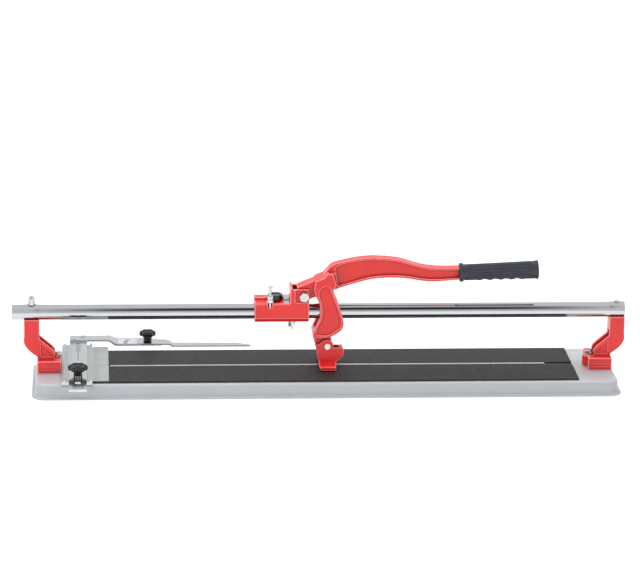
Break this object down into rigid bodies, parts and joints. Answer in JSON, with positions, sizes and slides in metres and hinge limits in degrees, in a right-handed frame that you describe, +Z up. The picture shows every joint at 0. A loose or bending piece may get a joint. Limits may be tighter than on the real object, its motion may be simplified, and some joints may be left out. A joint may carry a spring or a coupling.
{
  "type": "tile cutter",
  "caption": "Bench tile cutter: a lever carriage with a scoring wheel and breaking foot slides on a chromed rail over a padded base with a side fence.",
  "frame": {"origin": "middle of the base at bench level, straight under the rail's axis", "axes": "+X along the rail towards the handle, +Y away from the operator, +Z up"},
  "size_m": [0.9267, 0.274, 0.1945],
  "materials": {
    "red_paint": "glossy powder coat",
    "grey_paint": "satin paint on pressed steel",
    "foot_rubber": "matt",
    "pad_rubber": "matt, slightly mottled",
    "steel": "brushed",
    "zinc": "bright zinc plate",
    "chrome": "polished",
    "aluminium": "satin anodised",
    "black_plastic": "fine texture",
    "nylon": "machined",
    "grip_rubber": "matt, ribbed",
    "carbide": "ground"
  },
  "bodies": {
    "frame": {"base_plate": "grey_paint", "base_stiffener": "grey_paint", "bench_strip": "foot_rubber", "rubber_feet": "foot_rubber", "front_pad": "pad_rubber", "back_pad": "pad_rubber", "breaking_rib": "steel", "guide_rail": "chrome", "left_bracket": "red_paint", "right_bracket": "red_paint", "bracket_washers": "zinc", "bracket_bolts": "zinc", "bracket_nuts": "zinc", "rail_caps": "chrome", "rail_studs": "zinc", "rail_cap_nut": "zinc", "fence_guide": "aluminium", "scale_plate": "aluminium", "clamp_stud": "zinc"},
    "fence": {"fence_bar": "steel", "fence_arm": "steel", "arm_rivets": "zinc", "fence_stud": "zinc"},
    "pointer": {"pointer_arm": "steel"},
    "pointer_knob": {"fence_knob": "black_plastic"},
    "bar_knob": {"clamp_knob": "black_plastic"},
    "carriage": {"carriage_block": "red_paint", "slide_bushes": "nylon", "pressure_pad": "nylon", "adjusting_nut": "zinc", "lower_bolt": "zinc", "lower_nut": "zinc", "pivot_bolt": "zinc", "pivot_nut": "zinc"},
    "adjuster": {"adjusting_screw": "zinc"},
    "tension": {"tension_knob": "black_plastic", "tension_stud": "steel"},
    "handle": {"lever": "red_paint", "grip": "grip_rubber", "foot_pin": "zinc", "pin_clip": "zinc", "wheel_axle": "zinc"},
    "foot": {"breaker_foot": "red_paint"},
    "wheel": {"cutting_wheel": "carbide"}
  },
  "joints": [
    {"name": "carriage_slide", "type": "slide", "parent": "frame", "child": "carriage", "axis": [1, 0, 0], "range_m": [-0.32, 0.325]},
    {"name": "handle_pivot", "type": "hinge", "parent": "carriage", "child": "handle", "pos_m": [-0.034, 0, 0.1361], "axis": [0, -1, 0], "range_deg": [0, 20]},
    {"name": "foot_pivot", "type": "hinge", "parent": "handle", "child": "foot", "pos_m": [0.0019, 0, 0.0586], "axis": [0, -1, 0], "range_deg": [0, 30]},
    {"name": "wheel_spin", "type": "hinge", "parent": "handle", "child": "wheel", "pos_m": [0, 0, 0.042], "axis": [0, 1, 0], "continuous": true},
    {"name": "tension_turn", "type": "hinge", "parent": "carriage", "child": "tension", "pos_m": [-0.077, 0, 0.1295], "axis": [0, 0, 1], "range_deg": [-180, 180]},
    {"name": "adjuster_turn", "type": "hinge", "parent": "carriage", "child": "adjuster", "pos_m": [-0.0852, -0.015, 0.14], "axis": [0, 0, 1], "range_deg": [-180, 180]},
    {"name": "fence_slide", "type": "slide", "parent": "frame", "child": "fence", "axis": [0, 1, 0], "range_m": [-0.045, 0.03]},
    {"name": "pointer_swing", "type": "hinge", "parent": "fence", "child": "pointer", "pos_m": [-0.267, 0.108, 0.03], "axis": [0, 0, 1], "range_deg": [0, 45]},
    {"name": "pointer_knob_turn", "type": "hinge", "parent": "fence", "child": "pointer_knob", "pos_m": [-0.267, 0.108, 0.04], "axis": [0, 0, 1], "range_deg": [-180, 180]},
    {"name": "bar_knob_turn", "type": "hinge", "parent": "frame", "child": "bar_knob", "pos_m": [-0.3735, -0.066, 0.04], "axis": [0, 0, 1], "range_deg": [-180, 180]}
  ]
}
